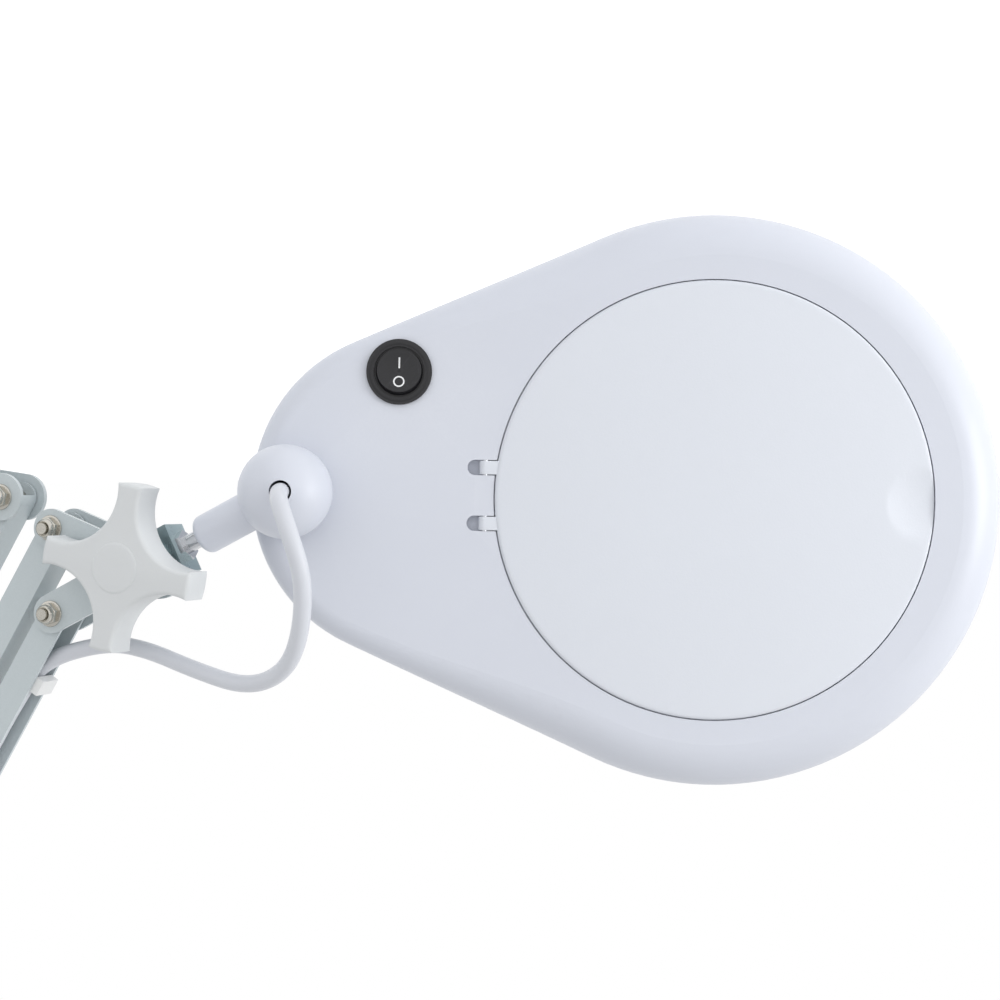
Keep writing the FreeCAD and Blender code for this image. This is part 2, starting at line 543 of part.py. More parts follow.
def optics():
    """The lens in its ring, the light ring round it and the diffuser below."""
    radius, bulge, edge = size("lens_radius"), size("lens_bulge"), size("lens_edge")
    curve = (radius**2 + bulge**2) / (2 * bulge)
    rim = cylinder("lens_rim", "lens_radius", "lens_edge + 2 * lens_bulge", (0, 0, -edge / 2 - bulge))
    faces = [ball(f"lens_face_{i}", curve, (0, 0, side * (curve - bulge - edge / 2)))
             for i, side in enumerate((1, -1))]
    node("lens", common("lens", rim, *faces), head_place)
    tube = cylinder("ring_tube", "lens_radius + 2.5", 37, (0, 0, bottom + 0.8))
    flange = cylinder("ring_flange", "light_inner + 4", 2, (0, 0, 15.8))
    seat_z = -edge / 2 - 0.45
    bores = [cylinder("ring_bore", "lens_radius + 0.1", 60, (0, 0, seat_z)),
             cylinder("ring_lower_bore", "lens_radius - 2.5", 60, (0, 0, bottom - 5)),
             cylinder("ring_skirt_bore", "lens_radius + 0.1", 20 - 4 - edge / 2 + 5, (0, 0, bottom - 5))]
    node("lens_ring", cut("lens_ring", fused("ring_blank", tube, flange), *bores), head_place)
    flat = cylinder("diffuser_disc", "light_outer + 0.6", 2, (0, 0, bottom + 0.6))
    eye = cylinder("diffuser_eye", "lens_radius + 2.6", 6, (0, 0, bottom - 1))
    node("diffuser", cut("diffuser", flat, eye), head_place)
    board = cylinder("board_disc", "light_outer", 1.6, (0, 0, -8))
    board_eye = cylinder("board_eye", "light_inner", 6, (0, 0, -10))
    node("led_board", cut("led_board", board, board_eye), head_place)
    chips = []
    for i in range(int(size("led_count"))):
        angle = 2 * math.pi * i / size("led_count")
        chip = box(f"led_{i}", 3.5, 2.8, 1, (0, 0, 0))
        centre = V(size("led_circle") * math.cos(angle), size("led_circle") * math.sin(angle), -9)
        chip.Placement = FreeCAD.Placement(centre, FreeCAD.Rotation(Z_AXIS, math.degrees(angle)))
        chips.append(chip)
    node("leds", group("leds", *chips), head_place)


def electrics():
    """The driver board in the narrow end, and the switch."""
    pcb = box("driver_pcb", 44, 44, 1.6, (-144, -22, -12))
    tall = [box("driver_coil", 14, 12, 9, (-140, -18, -10.4)), box("driver_terminal", 10, 14, 8, (-114, 4, -10.4)),
            cylinder("driver_capacitor", 4, 11, (-118, -12, -10.4))]
    node("driver_board", fused("driver_board", pcb, *tall), head_place)
    at = (size("switch_x"), size("switch_y"))
    flange = cylinder("bezel_flange", "bezel_radius", 1.3, (*at, top))
    barrel = cylinder("switch_barrel", 9.9, top - 5, (*at, 5))
    blades = [box(f"switch_blade_{i}", 0.8, 4.8, 8, (at[0] + x, at[1] - 2.4, -2.5)) for i, x in enumerate((-4, 4))]
    cup = cylinder("switch_cup", "rocker_radius + 0.55", 20, (*at, 14.5))
    shell = cut("switch_shell", fused("switch_blank", flange, barrel), cup)
    feet = [box(f"blade_foot_{i}", 0.8, 4.8, 2, (at[0] + x, at[1] - 2.4, 4.5)) for i, x in enumerate((-4, 4))]
    node("switch_body", fused("switch_body", shell, *blades, *feet), head_place)
    globe = ball("rocker_globe", "rocker_radius + 0.15", (0, 0, 0))
    slab = box("rocker_slab", 30, 30, 7.6, (-15, -15, -4.2))
    hollow = ball("rocker_dish", 40, (0, 0, 42.9))
    pivots = cylinder("rocker_pivots", 0.8, 17.6, (-8.8, 0, 0), X_AXIS)
    tilted = FreeCAD.Placement(V(*at, 20), FreeCAD.Rotation(X_AXIS, -size("rocker_rest")))
    button = cut("rocker_button", common("rocker_blank", globe, slab), hollow)
    node("rocker", fused("rocker_whole", button, pivots), head_place.multiply(tilted))


def lens_cover():
    """The crowned round lid over the lens, with two hinge arms and a finger scoop."""
    radius, sag = size("cover_radius"), size("cover_sag")
    crown = (radius**2 + sag**2) / (2 * sag)
    centre = (size("cover_x"), 0)
    disc = cylinder("cover_disc", "cover_radius", 8, (*centre, size("cover_low")))
    dome = ball("cover_dome", crown, (*centre, size("cover_crown") - crown))
    lid = common("cover_blank", disc, dome)
    arms = []
    for side in (1, -1):
        low_y = side * size("hinge_y") - size("hinge_arm") / 2
        arms.append(cylinder(f"cover_barrel_{side + 1}", 2.1, "hinge_arm",
                             (size("hinge_x"), low_y, size("hinge_z")), Y_AXIS))
        arms.append(box(f"cover_arm_{side + 1}", 9, "hinge_arm", 2, (size("hinge_x"), low_y, size("cover_low"))))
    whole = fused("cover_whole", lid, *arms)
    scoop = ball("cover_scoop", "scoop_radius", (size("scoop_x"), 0, top + size("scoop_lift")))
    bore = cylinder("cover_pin_bore", "hinge_pin_radius + 0.08", 30,
                    (size("hinge_x"), -15, size("hinge_z")), Y_AXIS)
    node("lens_cover", cut("lens_cover", whole, scoop, bore), head_place)
    pin = cylinder("hinge_pin", "hinge_pin_radius", 28, (size("hinge_x"), -14, size("hinge_z")), Y_AXIS)
    node("cover_hinge_pin", pin, head_place)


top_housing()
bottom_housing()
optics()
electrics()
lens_cover()

stud_low = 2
stud = cylinder("stud_body", "nipple_radius", 23 - stud_low, (size("ball_x"), 0, stud_low))
stud_hole = cylinder("stud_bore", "nipple_bore", 40, (size("ball_x"), 0, -5))
node("swivel_stud", cut("swivel_stud", stud, stud_hole), head_place)
stud_nut = hexagon("stud_nut_body", 8.1, 4, (size("ball_x"), 0, 5.6))
stud_washer = cylinder("stud_washer", 9, 0.9, (size("ball_x"), 0, 8.8))
stud_thread = cylinder("stud_nut_bore", "nipple_radius", 20, (size("ball_x"), 0, 0))
node("stud_nut", cut("stud_nut", fused("stud_nut_blank", stud_nut, stud_washer), stud_thread), head_place)


# ---- Base bracket, swivel and clamp -----------------------------------------------------------
def base():
    floor, sheet_t = size("base_floor"), size("base_sheet")
    cheeks = []
    for i, low_y in enumerate((-outer, inner)):
        corners = [(base_left.x, base_left.z), (3, floor + 9.5), (base_right.x, base_right.z)]
        cheeks.append(outline_plate(f"base_cheek_{i}", corners, 8.5, low_y, low_y + size("plate_thick")))
        cheeks.append(box(f"base_strap_{i}", 23, "plate_thick", 12, (-11, low_y, floor)))
    floor_plate = box("base_floor_plate", 23, 2 * outer, "base_sheet", (-11, -outer, floor))
    blank = fused("base_blank", *cheeks, floor_plate)
    holes = [cylinder(f"base_hole_{i}", "bolt_radius", 30, (p.x, -15, p.z), Y_AXIS)
             for i, p in enumerate((base_left, base_right))]
    node("base_bracket", cut("base_bracket", blank, *holes))
    shaft = cylinder("pin_shaft", "pin_radius", size("base_floor") - 10, (0, 0, 10))
    collar = cylinder("pin_collar", 10, 1.7, (0, 0, floor - 1.7))
    node("base_pin", fused("base_pin", shaft, collar))
    bolts("base_bolts", (base_left, base_right), outer)
    nuts("base_nuts", (base_left, base_right), outer)


def clamp():
    back, reach_x, side = size("jaw_back"), size("jaw_reach"), size("jaw_half")
    jaw_low = size("jaw_top") - size("jaw_thick")
    upper = box("upper_jaw", reach_x - back, 2 * side, "jaw_thick", (back, -side, jaw_low))
    spine = box("clamp_spine", 7, 2 * side, size("clamp_throat") + jaw_low + 8,
                (back, -side, -size("clamp_throat") - 8))
    lower = box("lower_jaw", 44, 2 * side, 8, (back, -side, -size("clamp_throat") - 8))
    nut_boss = cylinder("screw_boss", 10, 14, (size("screw_x"), 0, -size("clamp_throat") - 12))
    socket = cylinder("socket_boss", "socket_radius", "socket_top - jaw_top + 1", (0, 0, size("jaw_top") - 1))
    blank = fused("clamp_blank", upper, spine, lower, nut_boss, socket)
    pin_bore = cylinder("socket_bore", "pin_radius + 0.05", 40, (0, 0, size("jaw_top")))
    screw_bore = cylinder("screw_bore", "screw_radius + 0.08", 40, (size("screw_x"), 0, -90))
    upright = rounded("clamp_soft", blank, 5, lambda e: e.BoundBox.XMin > 25 and e.BoundBox.YLength < 0.01)
    node("clamp_frame", cut("clamp_frame", upright, pin_bore, screw_bore))
    node("jaw_pad", box("jaw_pad", reach_x + 6, 2 * side - 4, "jaw_top - jaw_thick", (-6, -side + 2, 0)))
    pad_top = size("pad_top")
    disc = cylinder("pad_disc", "pad_radius", 5, (size("screw_x"), 0, pad_top - 5))
    swivel = cylinder("pad_hub", 8, 6, (size("screw_x"), 0, pad_top - 10))
    seat = cylinder("pad_seat", "screw_radius + 0.08", 9, (size("screw_x"), 0, pad_top - 11))
    node("pressure_pad", cut("pressure_pad", fused("pad_blank", disc, swivel), seat))
    node("clamp_screw", cylinder("clamp_screw", "screw_radius", 73.8, (size("screw_x"), 0, pad_top - 76)))
    grip = cylinder("grip_disc", 14, 13, (size("screw_x"), 0, pad_top - 84))
    wings = [cylinder(f"grip_lobe_{i}", 5, 13, (size("screw_x") + 14 * math.cos(math.pi * i / 3),
                                                14 * math.sin(math.pi * i / 3), pad_top - 84)) for i in range(6)]
    thread = cylinder("grip_bore", "screw_radius", 20, (size("screw_x"), 0, pad_top - 76))
    node("clamp_grip", cut("clamp_grip", fused("grip_blank", grip, *wings), thread))


base()
clamp()

# ---- Mains flex -------------------------------------------------------------------------------
flex = size("flex_radius")


def channel_entry(pivot, run_side, out_side):
    """Points of the flex from inside a channel out past the nearest clip."""
    join = size("flex_join")
    return [beside(pivot, run_side * run, out_side * out) for run, out in ((join, 0), (join - 14, 0.2), (19, 2))]


head_route = [tuple(ball_centre + head_z * 12), tuple(ball_centre + head_z * 30)] + [
    (tilt.x + x, y, tilt.z + z) for x, y, z in (
        (-73, -36, -14), (-77.5, -33, 3), (-72, -25, 23), (-61, -16, 35.5), (-43, -8, 41),
        (-20, -3, 36), (0, -1, 29.5), (17, 0, 27.5))
] + channel_entry(head_high, 1, 1)[::-1]
elbow_route = channel_entry(elbow_high, -1, 1) + [beside(elbow_high, run, out) for run, out in (
    (-6, 11), (10, 15), (26, 8), (36, -10), (38, -33), (28, -54), (8, -68), (-10, -71), (-24, -65))
] + channel_entry(elbow_right, -1, -1)[::-1]
lead_route = channel_entry(base_right, 1, -1) + [
    beside(base_right, 9, -11), (5, 0, 47.8), (15.5, 0, 46), (25, 0.3, 38.5), (31.5, 1, 27), (37.5, 1.8, 17),
    (48, 4, 10.5), (64, 8, 6.5), (82, 12.5, 4.2), (100, 13.8, 3.4)]
node("head_flex", plain("head_flex", tube_shape(head_route, flex)))
node("elbow_flex", plain("elbow_flex", tube_shape(elbow_route, flex)))
for name, near, far in (("upper_flex", head_high, elbow_high), ("lower_flex", base_right, elbow_right)):
    start, end = V(*beside(near, size("flex_join") + 0.1, 0)), V(*beside(far, -size("flex_join") - 0.1, 0))
    node(name, cylinder(name, "flex_radius", (end - start).Length, tuple(start), end - start))
tail_route = [(98, -63.8, 15), (84, -64.5, 13.2), (71, -67, 10), (62, -73.3, 7.5), (57.4, -83.3, 5.5),
              (58.4, -94.3, 4.3), (64.7, -103.3, 4.3), (74.7, -107.9, 5.5), (89, -108, 7)]
node("mains_lead", group("mains_lead", plain("lead_run", tube_shape(lead_route, flex)),
                         plain("lead_tail", tube_shape(tail_route, flex))))
coil_at = (size("coil_x"), size("coil_y"), 0)
ring = cylinder("coil_ring", "coil_outer", "coil_height", coil_at)
eye = cylinder("coil_eye", "coil_inner", "coil_height + 2", (*coil_at[:2], -1))
node("lead_coil", cut("lead_coil", ring, eye))
plug_x, plug_y = tail_route[-1][0], tail_route[-1][1] - size("plug_width") / 2
shell = box("plug_shell", "plug_length", "plug_width", "plug_height", (plug_x, plug_y, 0))
soft_shell = rounded("plug_soft", shell, 4, lambda e: e.BoundBox.YLength < 0.1 and e.BoundBox.ZLength < 0.1)
pins = [cylinder(f"plug_pin_{i}", 2, 22, (plug_x + 34, plug_y + size("plug_width") / 2 + off, 7), X_AXIS)
        for i, off in enumerate((-9.3, 9.3))]
node("plug", fused("plug", soft_shell, *pins))

# ---- Checks and files -------------------------------------------------------------------------
doc.recompute()
failed = [o.Name for o in doc.Objects if "Invalid" in o.State or "Error" in o.State]
bad = [name for name, item in nodes.items() if item.Shape.isNull() or not item.Shape.isValid()]
if failed or bad:
    raise SystemExit(f"failed objects {failed}, bad shapes {bad}")
os.makedirs("parts", exist_ok=True)
for name, item in nodes.items():
    item.Shape.exportStep(f"parts/{name}.step")
    b = item.Shape.BoundBox
    print(f"{name}: {len(item.Shape.Solids)} solids, {item.Shape.Volume / 1000:.2f} cm3,"
          f" x {b.XMin:.1f}..{b.XMax:.1f} y {b.YMin:.1f}..{b.YMax:.1f} z {b.ZMin:.1f}..{b.ZMax:.1f}")
print(len(nodes), "sub-parts")
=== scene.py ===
import json
import math

import bmesh
import bpy
from mathutils import Matrix, Vector


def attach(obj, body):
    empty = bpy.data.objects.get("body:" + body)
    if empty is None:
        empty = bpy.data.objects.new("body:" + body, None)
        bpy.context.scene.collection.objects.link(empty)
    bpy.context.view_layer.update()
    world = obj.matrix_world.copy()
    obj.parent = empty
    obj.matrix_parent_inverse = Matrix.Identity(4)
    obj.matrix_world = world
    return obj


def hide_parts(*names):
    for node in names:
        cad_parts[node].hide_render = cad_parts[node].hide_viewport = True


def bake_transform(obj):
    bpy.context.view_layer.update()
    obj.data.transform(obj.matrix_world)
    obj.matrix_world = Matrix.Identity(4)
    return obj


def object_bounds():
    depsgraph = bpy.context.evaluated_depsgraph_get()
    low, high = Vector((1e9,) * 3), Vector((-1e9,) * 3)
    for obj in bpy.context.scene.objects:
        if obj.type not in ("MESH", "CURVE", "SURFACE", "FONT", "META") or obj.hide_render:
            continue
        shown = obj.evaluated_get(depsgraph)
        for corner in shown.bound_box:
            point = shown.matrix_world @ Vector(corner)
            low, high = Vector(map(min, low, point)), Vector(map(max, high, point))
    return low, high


# Magnifying lamp: finishes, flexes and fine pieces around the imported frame, which is in metres.
# Names in capitals that hold a size are in millimetres, and spot() turns them into the frame's units.
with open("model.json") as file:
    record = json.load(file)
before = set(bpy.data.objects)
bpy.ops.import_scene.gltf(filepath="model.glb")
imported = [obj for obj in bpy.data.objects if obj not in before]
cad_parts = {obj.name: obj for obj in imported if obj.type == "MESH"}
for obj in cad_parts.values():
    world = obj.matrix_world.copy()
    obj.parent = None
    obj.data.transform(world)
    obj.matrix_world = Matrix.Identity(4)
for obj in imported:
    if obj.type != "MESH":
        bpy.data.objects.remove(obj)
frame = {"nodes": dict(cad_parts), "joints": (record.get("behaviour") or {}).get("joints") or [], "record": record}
cad_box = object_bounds()

NODES = frame["nodes"]
JOINTS = {joint["name"]: joint for joint in frame["joints"]}
MM = 0.001


def spot(x, y, z):
    """A point of the row frame, from millimetres."""
    return Vector((x, y, z)) * MM


def axes(x_axis, y_axis, z_axis):
    """The turn that takes the three axes of a frame to these directions."""
    return Matrix((x_axis, y_axis, z_axis)).transposed().to_4x4()


# ---- Places that the frame gives ----------------------------------------------------------------
LENS_REACH, LENS_DROP = 0.151, 0.033        # from the ball's middle to the lens's middle, in metres
BALL = Vector(JOINTS["head_swivel"]["pos_m"])
TILT = Vector(JOINTS["head_tilt"]["pos_m"])
HEAD_Z = Vector(JOINTS["head_swivel"]["axis"]).normalized()
HEAD_X = Vector(JOINTS["rocker_press"]["axis"]).normalized()
HEAD_Y = HEAD_Z.cross(HEAD_X).normalized()
HEAD = BALL + HEAD_X * LENS_REACH - HEAD_Z * LENS_DROP
HEAD_FRAME = Matrix.Translation(HEAD) @ axes(HEAD_X, HEAD_Y, HEAD_Z)
SWITCH = Vector(JOINTS["rocker_press"]["pos_m"])

EAR_SPACING = 30.5
BASE_LEFT = Vector(JOINTS["lower_link"]["pos_m"])
BASE_RIGHT = Vector(JOINTS["lower_arm"]["pos_m"])
ELBOW_RIGHT = Vector(JOINTS["elbow_level"]["pos_m"])
ELBOW_LEFT = BASE_LEFT + (ELBOW_RIGHT - BASE_RIGHT)
ELBOW_LOW = Vector(JOINTS["upper_link"]["pos_m"])
ELBOW_HIGH = Vector(JOINTS["upper_arm"]["pos_m"])
HEAD_HIGH = Vector(JOINTS["bracket_level"]["pos_m"])
HEAD_LOW = HEAD_HIGH - spot(0, 0, EAR_SPACING)
ALONG = (ELBOW_RIGHT - BASE_RIGHT).normalized()
ACROSS = Vector((-ALONG.z, 0, ALONG.x))
FRONT = Vector((0, -1, 0))


def beside(pivot, run, out):
    """A point from a bar's pivot: run along the bar, out to its side, in millimetres."""
    return pivot + ALONG * run * MM + ACROSS * out * MM


def on_head(x, y, z):
    """A point of the head's own frame, in millimetres."""
    return HEAD_FRAME @ spot(x, y, z)


def facing_front(pivot):
    """A frame at a pivot, its Z axis along the bolt towards the knob's side."""
    return Matrix.Translation(pivot) @ axes((1, 0, 0), (0, 0, 1), (0, -1, 0))


# ---- Camera -------------------------------------------------------------------------------------
FOCAL_LENGTH, SENSOR_WIDTH, NEAREST = 71.8, 36, 0.01
EYE_ASIDE, EYE_AWAY = 0.0767, 0.722         # from the lens's middle, in metres
IMAGE_RIGHT = Vector((HEAD_X.x, HEAD_X.y, 0)).normalized()
IMAGE_DOWN = Vector((0, 0, 1))

camera = bpy.data.objects.new("camera", bpy.data.cameras.new("camera"))
camera.data.lens = FOCAL_LENGTH
camera.data.sensor_width = SENSOR_WIDTH
camera.data.clip_start = NEAREST
eye = HEAD - IMAGE_RIGHT * EYE_ASIDE + HEAD_Z * EYE_AWAY
camera.matrix_world = Matrix.Translation(eye) @ axes(IMAGE_RIGHT, -IMAGE_DOWN, HEAD_Z)
bpy.context.collection.objects.link(camera)
bpy.context.scene.camera = camera

# ---- Materials ----------------------------------------------------------------------------------
# Sockets of the Mix node, which has a set for each kind of value under the same names.
FACTOR, COLOUR_A, COLOUR_B, COLOUR_OUT = 0, 6, 7, 2
FLOAT_A, FLOAT_B, FLOAT_OUT = 2, 3, 0
RAISED_EDGE, WORN_EDGE = 0.53, 0.62         # pointiness where wear starts, and where it is full
NOISE_LOW, NOISE_HIGH = 0.3, 0.7            # the noise's usual span


def set_range(node, from_min, from_max, to_min, to_max):
    """Set the four limits of a Map Range node."""
    for socket, value in (("From Min", from_min), ("From Max", from_max), ("To Min", to_min),
                          ("To Max", to_max)):
        node.inputs[socket].default_value = value


def finish(name, colour, rough, metallic=0.0, tint=0.06, cloud=14, grain=900, relief=0.00004,
           rough_span=0.08, wear=0.0, wear_colour=(0.5, 0.5, 0.5), stretch=(1, 1, 1), coat=0.0,
           coat_rough=0.1, transmission=0.0, ior=1.46, sheen=0.0):
    """A procedural finish: clouded colour, grain in roughness and bump, and wear on raised edges."""
    material = bpy.data.materials.new(name)
    material.use_nodes = True
    tree = material.node_tree
    shader = tree.nodes["Principled BSDF"]
    link = tree.links.new

    def add(kind, **values):
        item = tree.nodes.new(kind)
        for key, value in values.items():
            if key in item.inputs:
                item.inputs[key].default_value = value
            else:
                setattr(item, key, value)
        return item

    place = add("ShaderNodeTexCoord")
    mapping = add("ShaderNodeMapping", Scale=stretch)
    link(place.outputs["Object"], mapping.inputs["Vector"])
    clouds = add("ShaderNodeTexNoise", Scale=cloud, Detail=4.0, Roughness=0.55)
    grains = add("ShaderNodeTexNoise", Scale=grain, Detail=3.0, Roughness=0.6)
    for noise in (clouds, grains):
        link(mapping.outputs["Vector"], noise.inputs["Vector"])

    tone = add("ShaderNodeMix", data_type="RGBA")
    tone.inputs[COLOUR_A].default_value = (*(c * (1 - tint) for c in colour), 1)
    tone.inputs[COLOUR_B].default_value = (*(min(1, c * (1 + tint)) for c in colour), 1)
    link(clouds.outputs["Fac"], tone.inputs[FACTOR])
    shade = tone.outputs[COLOUR_OUT]
    if wear:
        edges = add("ShaderNodeNewGeometry")
        raised = add("ShaderNodeMapRange")
        set_range(raised, RAISED_EDGE, WORN_EDGE, 0, wear)
        link(edges.outputs["Pointiness"], raised.inputs["Value"])
        broken = add("ShaderNodeMath", operation="MULTIPLY")
        link(raised.outputs["Result"], broken.inputs[0])
        link(grains.outputs["Fac"], broken.inputs[1])
        worn = add("ShaderNodeMix", data_type="RGBA")
        worn.inputs[COLOUR_B].default_value = (*wear_colour, 1)
        link(broken.outputs["Value"], worn.inputs[FACTOR])
        link(shade, worn.inputs[COLOUR_A])
        shade = worn.outputs[COLOUR_OUT]
    link(shade, shader.inputs["Base Color"])

    gloss = add("ShaderNodeMapRange")
    set_range(gloss, NOISE_LOW, NOISE_HIGH, max(0.02, rough - rough_span), min(1, rough + rough_span))
    blend = add("ShaderNodeMix", data_type="FLOAT")
    blend.inputs[FACTOR].default_value = 0.5
    link(clouds.outputs["Fac"], blend.inputs[FLOAT_A])
    link(grains.outputs["Fac"], blend.inputs[FLOAT_B])
    link(blend.outputs[FLOAT_OUT], gloss.inputs["Value"])
    link(gloss.outputs["Result"], shader.inputs["Roughness"])

    bump = add("ShaderNodeBump", Strength=0.6, Distance=relief)
    link(grains.outputs["Fac"], bump.inputs["Height"])
    link(bump.outputs["Normal"], shader.inputs["Normal"])

    for socket, value in (("Metallic", metallic), ("Coat Weight", coat), ("Coat Roughness", coat_rough),
                          ("Transmission Weight", transmission), ("IOR", ior), ("Sheen Weight", sheen)):
        shader.inputs[socket].default_value = value
    return material


ARM_GREY, ARM_GREY_WORN = (0.47, 0.53, 0.55), (0.62, 0.66, 0.68)
LOOKS = {
    "head_shell": dict(colour=(0.60, 0.625, 0.69), rough=0.42, tint=0.02, relief=0.00003, wear=0.25,
                       wear_colour=(0.78, 0.8, 0.84), coat=0.12, coat_rough=0.3),
    "cover_shell": dict(colour=(0.645, 0.672, 0.725), rough=0.62, tint=0.018, grain=1400, relief=0.00006),
    "arm_paint": dict(colour=ARM_GREY, rough=0.38, tint=0.05, grain=1600, relief=0.00006, wear=0.5,
                      wear_colour=ARM_GREY_WORN, coat=0.3, coat_rough=0.25),
    "clamp_paint": dict(colour=ARM_GREY, rough=0.4, tint=0.06, grain=1100, relief=0.0001, wear=0.6,
                        wear_colour=ARM_GREY_WORN, coat=0.2, coat_rough=0.3),
    "zinc_plate": dict(colour=(0.36, 0.45, 0.47), rough=0.3, metallic=1, tint=0.18, cloud=70, grain=500,
                       relief=0.00003, stretch=(1, 1, 0.3)),
    "bright_steel": dict(colour=(0.62, 0.63, 0.65), rough=0.16, metallic=1, tint=0.05, cloud=90,
                         relief=0.00001, rough_span=0.06),
    "nickel_fasteners": dict(colour=(0.56, 0.54, 0.49), rough=0.2, metallic=1, tint=0.1, cloud=160,
                             relief=0.00002),
    "spring_steel": dict(colour=(0.3, 0.31, 0.33), rough=0.32, metallic=1, tint=0.1, cloud=60),
    "knob_plastic": dict(colour=(0.63, 0.65, 0.66), rough=0.5, tint=0.03, grain=1300, relief=0.00006,
                         wear=0.3, wear_colour=(0.75, 0.77, 0.78)),
    "brass_insert": dict(colour=(0.62, 0.46, 0.17), rough=0.28, metallic=1, tint=0.08, cloud=90),
    "black_plastic": dict(colour=(0.012, 0.012, 0.014), rough=0.34, tint=0.15, grain=1500,
                          relief=0.00004, wear=0.3, wear_colour=(0.06, 0.06, 0.065)),
    "clip_plastic": dict(colour=(0.74, 0.75, 0.75), rough=0.4, tint=0.04),
    "lens_glass": dict(colour=(0.93, 0.97, 0.96), rough=0.03, tint=0.01, relief=0.000001,
                       rough_span=0.01, transmission=1.0, ior=1.52),
    "ring_plastic": dict(colour=(0.80, 0.80, 0.78), rough=0.45, tint=0.02),
    "circuit_board": dict(colour=(0.70, 0.73, 0.70), rough=0.4, tint=0.05, cloud=120),
    "led_chip": dict(colour=(0.82, 0.66, 0.16), rough=0.35, tint=0.06, cloud=300),
    "flex_sheath": dict(colour=(0.60, 0.62, 0.665), rough=0.4, tint=0.03, cloud=40, grain=1200,
                        relief=0.00005, sheen=0.1),
    "plug_plastic": dict(colour=(0.66, 0.67, 0.69), rough=0.42, tint=0.03, grain=1400, relief=0.00006,
                         wear=0.3, wear_colour=(0.76, 0.77, 0.78)),
}
FINISHES = {name: finish(name, **look) for name, look in LOOKS.items()}
MARKING = finish("marking_ink", (0.78, 0.79, 0.8), 0.5, tint=0.03, grain=2500, relief=0.00002)

for entry in frame["record"]["subparts"]:
    item = NODES[entry["node"]]
    item.data.materials.clear()
    item.data.materials.append(FINISHES[entry["material_slot"]])

# ---- Mesh tools ---------------------------------------------------------------------------------
SHARP_EDGE = math.radians(40)


def add_piece(name, verts, faces, body, slot, replaced=(), material=None):
    """A piece from its points and faces: shaded smooth with sharp edges kept, riding on a body."""
    mesh = bpy.data.meshes.new(name)
    mesh.from_pydata([tuple(v) for v in verts], [], faces)
    mesh.materials.append(material or FINISHES[slot])
    work = bmesh.new()
    work.from_mesh(mesh)
    bmesh.ops.recalc_face_normals(work, faces=work.faces)
    for face in work.faces:
        face.smooth = True
    for edge in work.edges:
        edge.smooth = len(edge.link_faces) != 2 or edge.calc_face_angle() < SHARP_EDGE
    work.to_mesh(mesh)
    work.free()
    piece = bpy.data.objects.new(name, mesh)
    bpy.context.collection.objects.link(piece)
    if body:
        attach(piece, body)
    if replaced:
        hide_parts(*replaced)
    return piece


def directions(count):
    """The cosine and sine of equal steps around a full turn."""
    return [(math.cos(a), math.sin(a)) for a in (2 * math.pi * k / count for k in range(count))]


def skin(rings, closed_ends=True):
    """Points and faces of a skin over equal rings."""
    sides = len(rings[0])
    verts = [point for ring in rings for point in ring]
    faces = [(i * sides + k, i * sides + (k + 1) % sides, (i + 1) * sides + (k + 1) % sides,
              (i + 1) * sides + k) for i in range(len(rings) - 1) for k in range(sides)]
    if closed_ends:
        faces += [tuple(range(sides))[::-1], tuple(range(len(verts) - sides, len(verts)))]
    return verts, faces


def turned(name, profile, at, axis, body, slot, replaced=(), sides=64):
    """A turned piece: a profile of (radius, height) pairs, in millimetres, about an axis."""
    turn = Vector((0, 0, 1)).rotation_difference(axis)
    rings = [[at + turn @ spot(radius * c, radius * s, height) for c, s in directions(sides)]
             for radius, height in profile]
    add_piece(name, *skin(rings), body, slot, replaced)


def inset(outline, distance):
    """An outline moved inwards: its corners slide along the mitre."""
    moved = []
    for before, here, after in zip(outline[-1:] + outline[:-1], outline, outline[1:] + outline[:1]):
        first = (Vector(here) - Vector(before)).normalized()
        second = (Vector(after) - Vector(here)).normalized()
        first_normal = Vector((-first.y, first.x))
        mitre = (first_normal + Vector((-second.y, second.x))).normalized()
        stretch = min(1.6, 1 / max(0.3, mitre.dot(first_normal)))
        moved.append(tuple(Vector(here) + mitre * distance * stretch))
    return moved


def rounded_solid(name, outline, low, high, low_round, high_round, place, body, slot, replaced=()):
    """An anticlockwise outline, in millimetres, made solid between two heights with rounded rims."""
    steps = [math.pi / 2 * k / 5 for k in range(6)]
    levels = [(low_round * (1 - math.sin(a)), low + low_round * (1 - math.cos(a))) for a in steps]
    levels += [(high_round * (1 - math.cos(a)), high - high_round * (1 - math.sin(a))) for a in steps]
    rings = [[place @ spot(x, y, height) for x, y in inset(outline, depth)] for depth, height in levels]
    add_piece(name, *skin(rings), body, slot, replaced)


# ---- Flexes -------------------------------------------------------------------------------------
FLEX = 6 * MM
FLEX_SIDES = 20


def smooth_line(points, resolution=10):
    """The points of a quadratic NURBS curve that a route's control points draw."""
    data = bpy.data.curves.new("route", "CURVE")
    data.dimensions = "3D"
    data.resolution_u = resolution
    spline = data.splines.new("NURBS")
    spline.points.add(len(points) - 1)
    for point, place in zip(spline.points, points):
        point.co = (*place, 1)
    spline.order_u = 3
    spline.use_endpoint_u = True
    holder = bpy.data.objects.new("route", data)
    mesh = bpy.data.meshes.new_from_object(holder)
    line = [v.co.copy() for v in mesh.vertices]
    bpy.data.objects.remove(holder)
    bpy.data.meshes.remove(mesh)
    bpy.data.curves.remove(data)
    return line


